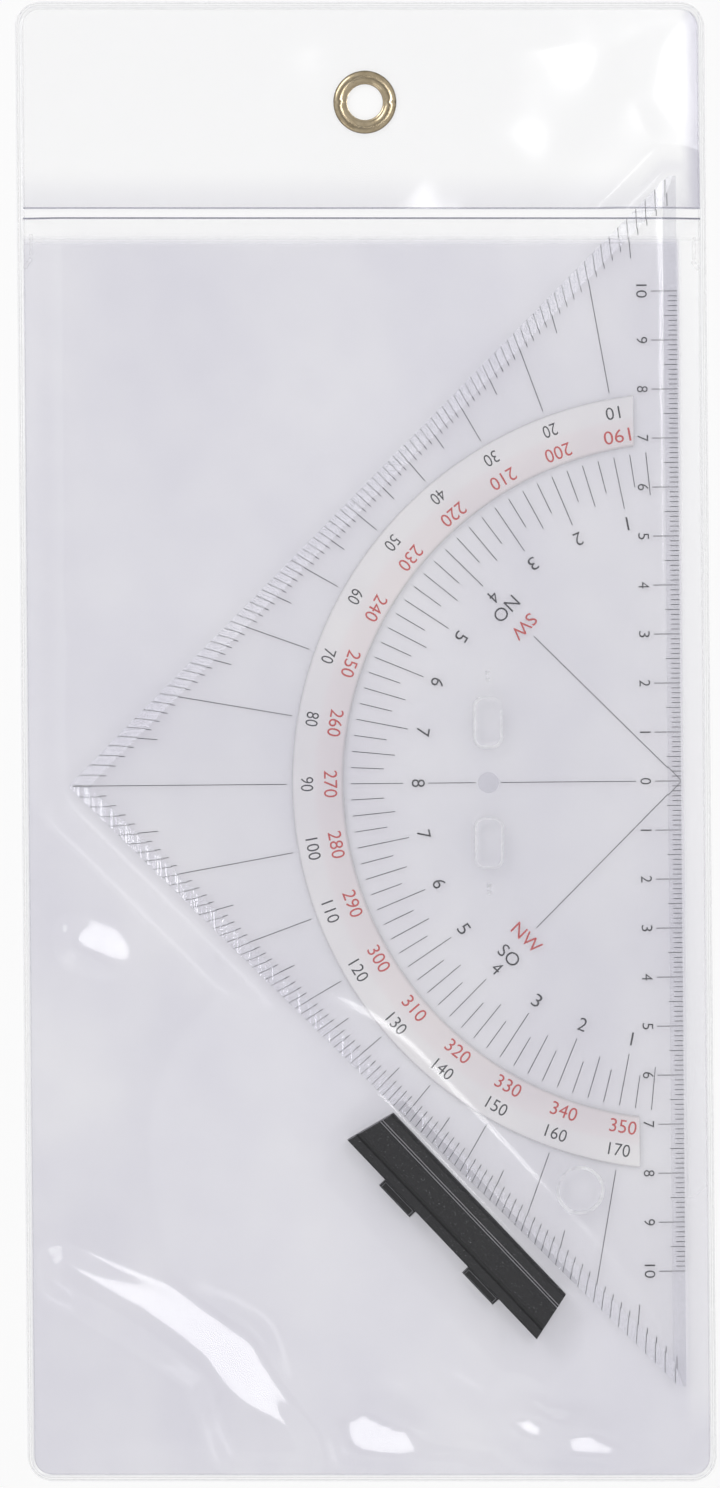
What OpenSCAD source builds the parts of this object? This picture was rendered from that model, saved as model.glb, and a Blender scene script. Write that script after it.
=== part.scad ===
// Navigation set square with its clip-on handle, in a clear storage wallet.
// The wallet lies flat: +X to the right, +Y towards the eyelet, +Z up.
// The origin is under the middle of the wallet.

/* [Set square] */
// Length cut from each sharp corner, measured along the hypotenuse
corner_cut = 1.5; // [1:0.1:4]
// Thickness of the clear plate
plate_t = 2; // [1.6:0.1:3]
// Thickness left at the bevelled edges
edge_t = 0.9; // [0.6:0.1:1.4]
// Width of the bevel along the two short sides
leg_bevel = 3.1; // [2:0.1:5]
// Width of the bevel along the hypotenuse
hyp_bevel = 2.7; // [2:0.1:5]
// Radius of the hanging hole
hole_r = 4.3; // [2:0.1:5]
// Hole's distance in from the hypotenuse
hole_in = 21.3; // [18:0.1:26]
// Hole's distance up from the lower tip
hole_up = 40.2; // [37:0.1:48]
// Width of the softened rim of the holes
rim_w = 0.6; // [0.3:0.1:0.8]

/* [Handle slots] */
// Width of a slot, across the hypotenuse
slot_w = 4.9; // [3:0.1:6]
// Length of a slot, along the hypotenuse
slot_l = 9.4; // [8:0.1:12]
// Corner radius of a slot
slot_r = 1.6; // [0.6:0.1:2]
// Distance between the middles of the two slots
slot_gap = 24.6; // [20:0.1:30]
// Slots' distance in from the hypotenuse
slot_in = 39.3; // [34:0.1:44]
// Distance from a slot's middle to the nearer of its two sunk dots
dot_gap = 8.7; // [7:0.1:10]
// Distance between the two sunk dots
dot_step = 1.4; // [1:0.1:2]

/* [Scales] */
// Distance from the short sides to the frosted degree band
band_gap = 9.1; // [8:0.1:12]
// Width of the frosted degree band
band_w = 10.3; // [7:0.1:12]
// Distance from the hypotenuse at which the band ends
band_end = 9.1; // [7:0.1:12]
// Length of the centimetre scale to each side of the zero
scale_reach = 100; // [80:10:100]
// Length of a centimetre mark
cm_mark = 5.3; // [4:0.1:6]
// Length of a five millimetre mark
half_mark = 2.9; // [2:0.1:4]
// Length of a millimetre mark
mm_mark = 2; // [1:0.1:3]
// Depth of a one degree mark, square to the short side
degree_mark = 4; // [3:0.1:5]
// Depth of a five degree mark, square to the short side
five_mark = 6.3; // [5:0.1:8]
// Distance between the band and the ten degree lines
long_gap = 1.2; // [0.8:0.1:2]
// Distance from the ninety degree line to the square corner
corner_play = 1; // [0.5:0.1:2]
// Distance between the band and the compass point marks
point_gap = 1.6; // [1:0.1:4]
// Length of a full compass point mark
point_mark = 10.7; // [8:0.1:12]
// Distance from the compass point marks to the axis line
axis_gap = 5.1; // [4:0.1:8]
// Distance from the protractor's centre to the axis line
axis_in = 9.2; // [5:0.1:12]
// Gap of the axis line at the gate mark, to each side
axis_break = 2.6; // [2.4:0.1:4]
// Distance from the compass point marks to the diagonals
diagonal_gap = 14.6; // [10:0.1:20]
// Width of a printed line
line_w = 0.16; // [0.1:0.01:0.3]
// Thickness of the printed layers
print_t = 0.05; // [0.03:0.01:0.08]

/* [Handle] */
// Length of the handle along its base
handle_l = 56; // [50:0.5:60]
// Length of the handle along its top
handle_top_l = 51; // [44:0.5:56]
// Height of the handle from its base to its top
handle_h = 10.6; // [9:0.1:11]
// Width of the handle
handle_w = 7.4; // [6:0.1:9]
// How far the feet stand out of the base
foot_h = 1.7; // [1:0.1:2]
// Play between a foot and its slot
foot_play = 0.2; // [0.1:0.05:0.4]
// Distance from the lower short side to the middle of the handle's base
handle_off = 12.45; // [12:0.05:14]
// Distance along the short side from its middle to the middle of the handle's base
handle_along = 30.69; // [29:0.01:32]
// Turn of the handle in the wallet, in degrees
handle_turn = -46.95; // [-50:0.05:-44]
// How far the handle can slip towards the pocket's bottom
handle_slip = 6; // [2:1:8]

/* [Wallet] */
// Width of the wallet
wallet_w = 140.6; // [140:0.2:150]
// Height of the wallet
wallet_h = 302; // [300:1:310]
// Radius of the wallet's corners
corner_r = 5; // [4:0.5:8]
// Thickness of one sheet of film
film_t = 0.25; // [0.2:0.05:0.4]
// Width of the welded edge
weld_w = 1.3; // [1:0.1:2]
// How far the weld bead stands out above the two sheets
bead_h = 0.2; // [0.1:0.05:0.3]
// Height of the upper strip, from the wallet's top edge
header_h = 42.3; // [38:0.1:42.6]
// Slit between the upper strip and the pocket
slit_w = 1.8; // [1:0.1:3]
// Height of the doubled hem at the pocket's mouth
hem_h = 4.6; // [3:0.1:8]
// Gap between the hypotenuse and the weld
edge_gap = 4.8; // [4.5:0.1:7]
// Gap between the square corner and the weld
corner_gap = 8.2; // [6:0.1:12]
// Gap between the lower tip and the weld
tip_gap = 17.6; // [16:0.1:20]
// Play between the film and what lies in the pocket
pocket_play = 0.3; // [0.2:0.05:0.6]

/* [Eyelet] */
// Radius of the eyelet's hole
eyelet_r = 3.65; // [2:0.05:4]
// Outer radius of the eyelet's rolled rim
eyelet_rim_r = 6.45; // [5.5:0.05:8]
// Wall of the eyelet's barrel
eyelet_wall = 0.4; // [0.2:0.05:0.6]
// Height of the rolled rim above the film
eyelet_rim_h = 0.6; // [0.3:0.05:0.8]
// Thickness of the washer behind
washer_t = 0.25; // [0.2:0.05:0.4]
// Outer radius of the washer
washer_r = 6; // [5:0.1:8]
// Distance from the wallet's top edge to the eyelet's middle
eyelet_down = 20.5; // [14:0.1:24]
// Place of the eyelet to the right of the wallet's middle
eyelet_x = 0.9; // [-4:0.1:4]

/* [Hidden] */
$fn = 96;

film_color = [0.90, 0.91, 0.95, 0.35];
clear_color = [0.86, 0.90, 0.93, 0.55];
frosted_color = [0.95, 0.93, 0.94];
ink_color = [0.16, 0.16, 0.18];
brass_color = [0.66, 0.55, 0.36];
black_color = [0.17, 0.17, 0.18];

// Heights, from the table up
back_z = washer_t;
back_top = back_z + film_t;
stack_top = back_top + film_t;
rim_top = stack_top + eyelet_rim_h;
slide_play = 0.1;
print_z = rim_top + slide_play;
plate_z = print_z + print_t;
plate_top = plate_z + plate_t;
over_plate = plate_top + pocket_play;
handle_z = back_top + pocket_play;
over_handle = handle_z + handle_w + pocket_play;

// Places in the wallet
inner_w = wallet_w - 2 * weld_w;
inner_h = wallet_h - 2 * weld_w;
inner_r = corner_r - weld_w;
top_y = wallet_h / 2;
header_y = top_y - header_h;
mouth_y = header_y - slit_w;
eyelet_y = top_y - eyelet_down;

// The set square fills the wallet's width but for its gaps, and lies down in the pocket
reach = inner_w - edge_gap - corner_gap;
hypotenuse = 2 * reach;
tip_y = reach - corner_cut;
square_x = inner_w / 2 - edge_gap;
square_y = tip_gap + tip_y - inner_h / 2;
hole_down = tip_y - hole_up;
band_out = reach / sqrt(2) - band_gap;
band_in = band_out - band_w;
point_out = band_in - point_gap;

// The handle lies beside the lower short side
handle_x = square_x - (reach + sqrt(2) * (handle_off - handle_along)) / 2;
handle_y = square_y - (reach + sqrt(2) * (handle_off + handle_along)) / 2;

// Slopes of the film beside what it covers
edge_slope = 1;
plate_drape = 14;
handle_drape = 26;
weld_drape = 18;
cover_margin = 4;
columns = 24;
pocket_rows = 34;
header_rows = 8;

// Outline helpers
module rounded_rect(w, h, r) {
    square([w - 2 * r, h], center = true);
    square([w, h - 2 * r], center = true);
    for (x = [-1, 1], y = [-1, 1])
        translate([x * (w / 2 - r), y * (h / 2 - r)])
            circle(r);
}

// Distance outside the set square's outline, or 0 inside it.
// In the pocket the outline runs on up to the mouth, where the set square is drawn out.
function beside_square(x, y) =
    let (u = square_x - x, v = y < mouth_y + 0.01 ? max(0, square_y - y) : abs(y - square_y))
    max(0, -u, u - reach, v - tip_y, (u + v - reach) / sqrt(2));

// Distance outside the handle's side view when it has slipped by s, or 0 inside it
function beside_handle(x, y, s) =
    let (dx = x - handle_x, dy = y + s - handle_y,
         along = dx * cos(handle_turn) + dy * sin(handle_turn),
         up = -dx * sin(handle_turn) + dy * cos(handle_turn))
    norm([max(0, abs(along) - handle_l / 2), max(0, -foot_h - up, up - handle_h)]);

// Share of the full height at a distance from what lifts the film
function drape(d, reach) = let (t = min(1, max(0, d - cover_margin) / reach)) 1 - t * t * (3 - 2 * t);

// Underside of the front film
function film_height(x, y) =
    let (to_edge = min(inner_w / 2 - abs(x), inner_h / 2 - abs(y)),
         plate_lift = (over_plate - back_top) * drape(beside_square(x, y), plate_drape),
         slip_gap = min(beside_handle(x, y, 0), beside_handle(x, y, handle_slip)),
         near_weld = drape(weld_drape + cover_margin - to_edge, weld_drape),
         handle_lift = (over_handle - back_top) * drape(slip_gap, handle_drape) * near_weld)
    back_top + max(min(plate_lift, edge_slope * max(0, to_edge)), handle_lift);

// Half the film's width at a height, where the wallet's corners are round
function half_width(y) =
    let (d = inner_h / 2 - abs(y))
    inner_w / 2 - inner_r + (d >= inner_r ? inner_r : sqrt(inner_r * inner_r - pow(inner_r - d, 2)));

// A sheet that follows the front film, from its rows' places, lifted off its underside
module film_sheet(rows, lift, thick) {
    cols = columns + 1;
    count = len(rows) * cols;
    function place(i, j) = [(2 * i / columns - 1) * half_width(rows[j]), rows[j]];
    function at(i, j, top) = j * cols + i + (top ? count : 0);
    points = [for (dz = [lift, lift + thick]) for (j = [0 : len(rows) - 1]) for (i = [0 : columns])
        let (p = place(i, j)) [p[0], p[1], film_height(p[0], p[1]) + dz]];
    last = len(rows) - 1;
    skins = [for (j = [0 : last - 1]) for (i = [0 : columns - 1]) for (half = [0, 1])
        let (a = at(i, j, true), b = at(i + 1, j, true), c = at(i + 1, j + 1, true), d = at(i, j + 1, true))
        half == 0 ? [c, b, a] : [d, c, a]];
    unders = [for (f = skins) [f[2] - count, f[1] - count, f[0] - count]];
    ends = [for (i = [0 : columns - 1]) for (f = [
        [at(i, 0, false), at(i, 0, true), at(i + 1, 0, true)],
        [at(i, 0, false), at(i + 1, 0, true), at(i + 1, 0, false)],
        [at(i, last, false), at(i + 1, last, true), at(i, last, true)],
        [at(i, last, false), at(i + 1, last, false), at(i + 1, last, true)]]) f];
    sides = [for (j = [0 : last - 1]) for (f = [
        [at(0, j, false), at(0, j + 1, true), at(0, j, true)],
        [at(0, j, false), at(0, j + 1, false), at(0, j + 1, true)],
        [at(columns, j, false), at(columns, j, true), at(columns, j + 1, true)],
        [at(columns, j, false), at(columns, j + 1, true), at(columns, j + 1, false)]]) f];
    polyhedron(points, concat(skins, unders, ends, sides), convexity = 6);
}

// Rows of the film's grid, closer together in the round corners
corner_rows = [0, 0.15 * inner_r, 0.45 * inner_r, inner_r];
pocket_low = -inner_h / 2;
hem_low = mouth_y - hem_h;
pocket_steps = [for (k = [1 : pocket_rows]) pocket_low + inner_r + (hem_low - pocket_low - inner_r) * k / pocket_rows];
pocket_lines = concat([for (c = corner_rows) pocket_low + c], pocket_steps, [mouth_y]);
header_steps = [for (k = [0 : header_rows - 1]) header_y + (inner_h / 2 - inner_r - header_y) * k / header_rows];
header_lines = concat(header_steps, [for (k = [3 : -1 : 0]) inner_h / 2 - corner_rows[k]]);

module wallet_back() {
    color(film_color)
    translate([0, 0, back_z])
        linear_extrude(film_t)
            difference() {
                rounded_rect(inner_w, inner_h, inner_r);
                translate([eyelet_x, eyelet_y])
                    circle(eyelet_r + eyelet_wall);
            }
}

module pocket_front() {
    color(film_color)
    film_sheet(pocket_lines, 0, film_t);
}

module mouth_hem() {
    color(film_color)
    film_sheet([hem_low, mouth_y], film_t, film_t);
}

module header_front() {
    color(film_color)
    difference() {
        film_sheet(header_lines, 0, film_t);
        translate([eyelet_x, eyelet_y, 0])
            cylinder(r = eyelet_r + eyelet_wall, h = rim_top);
    }
}

module edge_weld() {
    flange_in = 0.15;
    color(film_color) {
        difference() {
            translate([0, 0, flange_in])
                linear_extrude(stack_top - flange_in)
                    rounded_rect(wallet_w, wallet_h, corner_r);
            linear_extrude(stack_top)
                rounded_rect(inner_w, inner_h, inner_r);
        }
        difference() {
            linear_extrude(stack_top + bead_h)
                rounded_rect(wallet_w - 0.5 * weld_w, wallet_h - 0.5 * weld_w, corner_r - 0.25 * weld_w);
            linear_extrude(stack_top + bead_h)
                rounded_rect(inner_w + 0.5 * weld_w, inner_h + 0.5 * weld_w, inner_r + 0.25 * weld_w);
        }
    }
}

module eyelet() {
    barrel_r = eyelet_r + eyelet_wall;
    mid_r = (eyelet_rim_r + eyelet_r) / 2;
    half = (eyelet_rim_r - eyelet_r) / 2;
    crown = [for (a = [0 : 15 : 150]) [mid_r + half * cos(a), stack_top + eyelet_rim_h * sin(a)]];
    color(brass_color)
    translate([eyelet_x, eyelet_y, 0])
        rotate_extrude()
            polygon(concat([[eyelet_r, 0], [barrel_r, 0], [barrel_r, stack_top]], crown,
                           [[eyelet_r, stack_top + 0.5 * eyelet_rim_h]]));
}

module eyelet_washer() {
    color(brass_color)
    translate([eyelet_x, eyelet_y, 0])
        difference() {
            cylinder(r = washer_r, h = washer_t);
            cylinder(r = eyelet_r + eyelet_wall, h = washer_t);
        }
}

// The set square's own frame: zero at the protractor's centre, -X towards the square corner
module on_square(z) {
    translate([square_x, square_y, z])
        children();
}

// A long block that cuts a bevel off the edge through the origin along Y, on the +X side
module bevel_cutter(width) {
    drop = plate_t - edge_t;
    translate([0, 0, edge_t])
        rotate([0, atan2(drop, width), 0])
            translate([-2 * width, -hypotenuse, 0])
                cube([4 * width, 2 * hypotenuse, 2 * plate_t]);
}

module slot_outline(grow) {
    for (y = [-1, 1])
        translate([-slot_in, y * slot_gap / 2])
            rounded_rect(slot_w + 2 * grow, slot_l + 2 * grow, slot_r + grow);
}

module plate() {
    rim_d = 0.35;
    gate_r = 2.2;
    gate_d = 0.3;
    mark_r = 0.4;
    color(clear_color)
    on_square(plate_z)
        difference() {
            linear_extrude(plate_t)
                intersection() {
                    polygon([[0, -reach], [0, reach], [-reach, 0]]);
                    translate([-reach - 1, -tip_y])
                        square([reach + 1, 2 * tip_y]);
                }
            bevel_cutter(hyp_bevel);
            for (s = [-1, 1])
                translate([-reach, 0, 0])
                    rotate([0, 0, 180 - s * 45])
                        bevel_cutter(leg_bevel);
            linear_extrude(plate_t)
                slot_outline(0);
            translate([0, 0, plate_t - rim_d])
                linear_extrude(rim_d)
                    slot_outline(rim_w);
            translate([-hole_in, -hole_down, 0])
                cylinder(r = hole_r, h = plate_t);
            translate([-hole_in, -hole_down, plate_t - rim_d])
                cylinder(r1 = hole_r, r2 = hole_r + rim_w, h = rim_d);
            translate([-slot_in, 0, plate_t - gate_d])
                cylinder(r = gate_r, h = gate_d);
            for (s = [-1, 1], k = [0, 1])
                translate([-slot_in, s * (slot_gap / 2 + dot_gap + k * dot_step), plate_t - gate_d])
                    cylinder(r = mark_r, h = gate_d);
        }
}

module degree_band() {
    color(frosted_color)
    on_square(print_z)
        linear_extrude(print_t)
            intersection() {
                difference() {
                    circle(band_out);
                    circle(band_in);
                }
                translate([-reach, -reach])
                    square([reach - band_end, hypotenuse]);
            }
}

// Marks along the hypotenuse, joined by a hairline at its edge
module hypotenuse_scale() {
    hairline = 0.1;
    span = scale_reach + line_w / 2;
    function mark(k) = k % 10 == 0 ? cm_mark : k % 5 == 0 ? half_mark : mm_mark;
    teeth = [for (k = [-scale_reach : scale_reach]) for (p = [
        [-hairline, k - line_w / 2],
        [-mark(abs(k)), k - line_w / 2],
        [-mark(abs(k)), k + line_w / 2],
        [-hairline, k + line_w / 2]]) p];
    color(ink_color)
    on_square(print_z)
        linear_extrude(print_t)
            polygon(concat([[0, -span]], teeth, [[0, span]]));
}

// The degree marks of the short side above the zero line, joined by a hairline at its edge.
// Angles are measured here from the axis towards the upper end of the hypotenuse.
module leg_marks() {
    hairline = 0.1 * sqrt(2);
    long_in = band_out + long_gap;
    half = line_w / 2;
    // Distance along a mark's side to a line parallel to the short side
    function to_side(a, inset, side) =
        (reach - inset + side * half * (cos(a) - sin(a))) / (cos(a) + sin(a));
    function at(a, r, side) = [-r * cos(a) - side * half * sin(a), r * sin(a) - side * half * cos(a)];
    function inner(a, side) =
        a % 10 == 0 ? long_in : to_side(a, (a % 5 == 0 ? five_mark : degree_mark) * sqrt(2), side);
    teeth = [for (a = [1 : 89]) for (p = [
        at(a, to_side(a, hairline, 1), 1),
        at(a, inner(a, 1), 1),
        at(a, inner(a, -1), -1),
        at(a, to_side(a, hairline, -1), -1)]) p];
    first = teeth[0];
    end = teeth[len(teeth) - 1];
    polygon(concat([[first[0] - hairline, first[1]]], teeth, [[end[0] - hairline, end[1]]]));
}

module degree_scale() {
    color(ink_color)
    on_square(print_z)
        linear_extrude(print_t) {
            leg_marks();
            mirror([0, 1])
                leg_marks();
            radial_line(0, band_out + long_gap, reach - corner_play);
        }
}

module radial_line(a, r1, r2) {
    rotate([0, 0, 180 - a])
        translate([r1, -line_w / 2])
            square([r2 - r1, line_w]);
}

// Marks every quarter of a compass point, from half a point to fifteen and a half
module compass_scale() {
    point = 11.25;
    half_share = 0.82;
    quarter_share = 0.63;
    function share(q) = q % 4 == 0 ? 1 : q % 2 == 0 ? half_share : quarter_share;
    color(ink_color)
    on_square(print_z)
        linear_extrude(print_t)
            for (q = [2 : 62])
                radial_line(90 - q * point / 4, point_out - point_mark * share(q), point_out);
}

// The axis, broken at the gate mark, and the two diagonals, which meet at the centre
module direction_lines() {
    marks_in = point_out - point_mark;
    start = 0.3;
    color(ink_color)
    on_square(print_z)
        linear_extrude(print_t) {
            radial_line(0, axis_in, slot_in - axis_break);
            radial_line(0, slot_in + axis_break, marks_in - axis_gap);
            for (s = [-1, 1])
                radial_line(s * 45, start, marks_in - diagonal_gap);
        }
}

// Half of the handle's section, from its base to its top: height, half width.
// A strip at the base, a groove, the side with a double ridge, and the round top.
function handle_half(w) =
    let (strip_h = 1.9, groove_w = 1.7, groove_d = 0.45, side_in = 0.15, ridge_up = 7.2, ridge_w = 1.05,
         bevel = 0.3, top_r = 1.6,
         groove_end = strip_h + groove_w, ridge_mid = ridge_up + ridge_w / 2)
    [[0, w - bevel], [bevel, w], [strip_h, w],
     [strip_h + groove_w / 4, w - groove_d], [groove_end - groove_w * 0.4, w - groove_d], [groove_end, w - side_in],
     [ridge_up, w - side_in], [ridge_up + side_in, w], [ridge_mid - side_in, w],
     [ridge_mid, w - side_in], [ridge_mid + side_in, w],
     [ridge_up + ridge_w - side_in, w], [ridge_up + ridge_w, w - side_in],
     [handle_h - top_r / 2, w - top_r * 0.16], [handle_h - top_r / 8, w - top_r * 0.56], [handle_h, w - top_r]];

module handle() {
    half = handle_half(handle_w / 2);
    section = concat(half, [for (i = [len(half) - 1 : -1 : 0]) [half[i][0], -half[i][1]]]);
    foot_w = slot_w - 2 * foot_play;
    foot_l = slot_l - 2 * foot_play;
    frame = 0.5;
    color(black_color)
    translate([handle_x, handle_y, handle_z + handle_w / 2])
        rotate([0, 0, handle_turn]) {
            intersection() {
                translate([0, 0, -handle_w])
                    linear_extrude(2 * handle_w)
                        polygon([[-handle_l / 2, 0], [handle_l / 2, 0],
                                 [handle_top_l / 2, handle_h], [-handle_top_l / 2, handle_h]]);
                rotate([90, 0, 90])
                    translate([0, 0, -handle_l])
                        linear_extrude(2 * handle_l)
                            polygon(section);
            }
            for (s = [-1, 1])
                difference() {
                    translate([s * slot_gap / 2 - foot_l / 2, -foot_h, -foot_w / 2])
                        cube([foot_l, foot_h, foot_w]);
                    for (z = [-foot_w / 2, foot_w / 2 - frame])
                        translate([s * slot_gap / 2 - foot_l / 2 + frame, -foot_h + 0.2, z])
                            cube([foot_l - 2 * frame, foot_h - 0.5, frame]);
                }
        }
}

wallet_back();
pocket_front();
mouth_hem();
header_front();
edge_weld();
eyelet();
eyelet_washer();
plate();
degree_band();
hypotenuse_scale();
degree_scale();
compass_scale();
direction_lines();
handle();
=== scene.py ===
import math

import bpy
from mathutils import Matrix, Vector, noise


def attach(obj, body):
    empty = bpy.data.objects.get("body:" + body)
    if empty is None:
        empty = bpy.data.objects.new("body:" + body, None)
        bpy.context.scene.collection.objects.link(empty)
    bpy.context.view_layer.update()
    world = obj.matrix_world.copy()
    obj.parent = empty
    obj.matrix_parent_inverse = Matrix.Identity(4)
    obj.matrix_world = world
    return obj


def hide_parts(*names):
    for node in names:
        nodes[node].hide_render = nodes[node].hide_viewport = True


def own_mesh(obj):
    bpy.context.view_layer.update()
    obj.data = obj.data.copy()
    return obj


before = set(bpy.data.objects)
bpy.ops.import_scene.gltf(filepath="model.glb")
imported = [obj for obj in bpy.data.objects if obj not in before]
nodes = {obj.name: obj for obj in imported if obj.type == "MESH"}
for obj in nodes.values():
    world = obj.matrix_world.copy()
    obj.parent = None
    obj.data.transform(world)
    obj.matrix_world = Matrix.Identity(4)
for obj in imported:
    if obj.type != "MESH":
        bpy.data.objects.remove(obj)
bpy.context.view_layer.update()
scene = bpy.context.scene
scene.view_settings.view_transform = "Standard"
mm = 0.001


# camera, straight above the wallet
view = {
    "height": 303.67 * mm,
    "centre": (-1.23 * mm, -0.50 * mm),
    "roll": -0.00873,
    "lens": 400.0,
    "sensor": 36.0,
    "level": 1.5 * mm,
}
distance = view["height"] * view["lens"] / view["sensor"]
bpy.ops.object.camera_add(
    location=(view["centre"][0], view["centre"][1], distance + view["level"]),
    rotation=(0, 0, view["roll"]),
)
camera = bpy.context.object
camera.name = "camera"
camera.data.lens = view["lens"]
camera.data.clip_start = 0.05
camera.data.clip_end = 50
scene.camera = camera
print("camera placed")


# small helpers
def selectOnly(*objects):
    bpy.ops.object.select_all(action="DESELECT")
    for o in objects:
        o.select_set(True)
    bpy.context.view_layer.objects.active = objects[-1]


def editMode(piece, kind):
    selectOnly(piece)
    bpy.ops.object.mode_set(mode="EDIT")
    bpy.ops.mesh.select_mode(type=kind)
    bpy.ops.mesh.select_all(action="DESELECT")
    bpy.ops.object.mode_set(mode="OBJECT")


def operate(operator, **settings):
    bpy.ops.object.mode_set(mode="EDIT")
    operator(**settings)
    bpy.ops.object.mode_set(mode="OBJECT")


def applyAll(piece):
    selectOnly(piece)
    bpy.ops.object.transform_apply(location=True, rotation=True, scale=True)


def addModifier(piece, kind, **settings):
    modifier = piece.modifiers.new(kind.title(), kind)
    for key, value in settings.items():
        setattr(modifier, key, value)
    selectOnly(piece)
    bpy.ops.object.modifier_apply(modifier=modifier.name)


def dress(piece, *materials):
    piece.data.materials.clear()
    for material in materials:
        piece.data.materials.append(material)


def dressNode(name, material):
    for slot in nodes[name].material_slots:
        slot.link = "OBJECT"
        slot.material = material


def smoothen(piece, degrees):
    selectOnly(piece)
    bpy.ops.object.shade_smooth_by_angle(angle=math.radians(degrees))


# gives a finished piece its body and hides the nodes it replaces; the soft wallet's film lies slightly out of square
def settle(piece, body, slotName, *replaced):
    applyAll(piece)
    if body == "wallet" and slotName == "film":
        for vertex in piece.data.vertices:
            vertex.co.y -= wallet["shear"] * vertex.co.x
    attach(piece, body)
    if replaced:
        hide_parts(*replaced)
    return piece


def clamp(value, low=0.0, high=1.0):
    return min(high, max(low, value))


def smoothStep(t):
    t = clamp(t)
    return t * t * (3 - 2 * t)


def wobble(x, y, across, along, seed):
    return noise.noise(Vector((x / across, y / along, seed)))


# how far a point is along a stretch, 0 to 1, and how far beside it
def besideStretch(x, y, first, last):
    dx, dy = last[0] - first[0], last[1] - first[1]
    t = clamp(((x - first[0]) * dx + (y - first[1]) * dy) / (dx * dx + dy * dy))
    return t, math.hypot(x - first[0] - t * dx, y - first[1] - t * dy)


# materials
def newMaterial(name):
    material = bpy.data.materials.new(name)
    material.use_nodes = True
    tree = material.node_tree
    return material, tree.nodes, tree.links, tree.nodes["Principled BSDF"]


def noiseNode(nodesIn, links, scale, detail=3.0, roughness=0.5, stretch=None, turn=0.0):
    coordinates = nodesIn.new("ShaderNodeTexCoord")
    texture = nodesIn.new("ShaderNodeTexNoise")
    texture.inputs["Scale"].default_value = scale
    texture.inputs["Detail"].default_value = detail
    texture.inputs["Roughness"].default_value = roughness
    if stretch:
        mapping = nodesIn.new("ShaderNodeMapping")
        mapping.inputs["Scale"].default_value = stretch
        mapping.inputs["Rotation"].default_value = (0, 0, turn)
        links.new(coordinates.outputs["Object"], mapping.inputs["Vector"])
        links.new(mapping.outputs["Vector"], texture.inputs["Vector"])
    else:
        links.new(coordinates.outputs["Object"], texture.inputs["Vector"])
    return texture


def ramp(nodesIn, links, source, low, high, first, last):
    node = nodesIn.new("ShaderNodeMapRange")
    node.inputs["From Min"].default_value = low
    node.inputs["From Max"].default_value = high
    node.inputs["To Min"].default_value = first
    node.inputs["To Max"].default_value = last
    links.new(source, node.inputs["Value"])
    return node.outputs["Result"]


def colourRamp(nodesIn, links, source, stops):
    node = nodesIn.new("ShaderNodeValToRGB")
    while len(node.color_ramp.elements) < len(stops):
        node.color_ramp.elements.new(0.5)
    for element, (place, colour) in zip(node.color_ramp.elements, stops):
        element.position = place
        element.color = (*colour, 1)
    links.new(source, node.inputs["Fac"])
    return node.outputs["Color"]


def addBump(nodesIn, links, source, target, strength, depth):
    bump = nodesIn.new("ShaderNodeBump")
    bump.inputs["Strength"].default_value = strength
    bump.inputs["Distance"].default_value = depth
    links.new(source, bump.inputs["Height"])
    links.new(bump.outputs["Normal"], target)
    return bump


def mixShaders(nodesIn, links, factor, first, second):
    node = nodesIn.new("ShaderNodeMixShader")
    links.new(factor, node.inputs["Fac"])
    links.new(first, node.inputs[1])
    links.new(second, node.inputs[2])
    return node.outputs[0]


def rayOf(nodesIn, kind):
    return nodesIn.new("ShaderNodeLightPath").outputs[kind]


# a maths node; each side is a number or another node's output
def calculate(nodesIn, links, operation, *sides):
    node = nodesIn.new("ShaderNodeMath")
    node.operation = operation
    for i, side in enumerate(sides):
        if isinstance(side, float):
            node.inputs[i].default_value = side
        else:
            links.new(side, node.inputs[i])
    return node.outputs[0]


# clear soft film: what is behind it shows, under a thin veil and a skin that mirrors more at a slant
def filmMaterial(name, tint, veil, veilColour, gloss=0.12, ripple=0.25, deepTintAndShade=None, index=1.32):
    material, n, links, skin = newMaterial(name)
    skin.inputs["Base Color"].default_value = (*veilColour, 1)
    skin.inputs["Roughness"].default_value = 0.3
    skin.inputs["IOR"].default_value = 1.3
    clear = n.new("ShaderNodeBsdfTransparent")
    clear.inputs["Color"].default_value = (*tint, 1)
    attribute = n.new("ShaderNodeAttribute")
    attribute.attribute_name = "veil"
    total = calculate(n, links, "ADD", veil, attribute.outputs["Fac"])
    # the depth attribute blends to the deeper colour: the film's tint in the pocket, a painted shade on the header
    # strip
    if deepTintAndShade:
        depth = n.new("ShaderNodeAttribute")
        depth.attribute_name = "depth"
        shade = colourRamp(n, links, depth.outputs["Fac"], [(0.0, tint), (1.0, deepTintAndShade)])
        links.new(shade, clear.inputs["Color"])
    hazy = mixShaders(n, links, total, clear.outputs[0], skin.outputs[0])
    mirror = n.new("ShaderNodeBsdfGlossy")
    mirror.inputs["Roughness"].default_value = gloss
    waves = noiseNode(n, links, 60, 0, 0.5)
    bump = addBump(n, links, waves.outputs["Fac"], mirror.inputs["Normal"], ripple, 0.6 * mm)
    grazing = n.new("ShaderNodeLayerWeight")
    grazing.inputs["Blend"].default_value = 0.5
    links.new(bump.outputs["Normal"], grazing.inputs["Normal"])
    steep = calculate(n, links, "POWER", grazing.outputs["Facing"], 5.0)
    straight = ((index - 1) / (index + 1)) ** 2
    shiny = mixShaders(n, links, ramp(n, links, steep, 0, 1, straight, 1), hazy, mirror.outputs[0])
    lit = mixShaders(n, links, rayOf(n, "Is Diffuse Ray"), shiny, hazy)
    seen = mixShaders(n, links, rayOf(n, "Is Shadow Ray"), lit, hazy)
    links.new(seen, n["Material Output"].inputs["Surface"])
    return material
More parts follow.
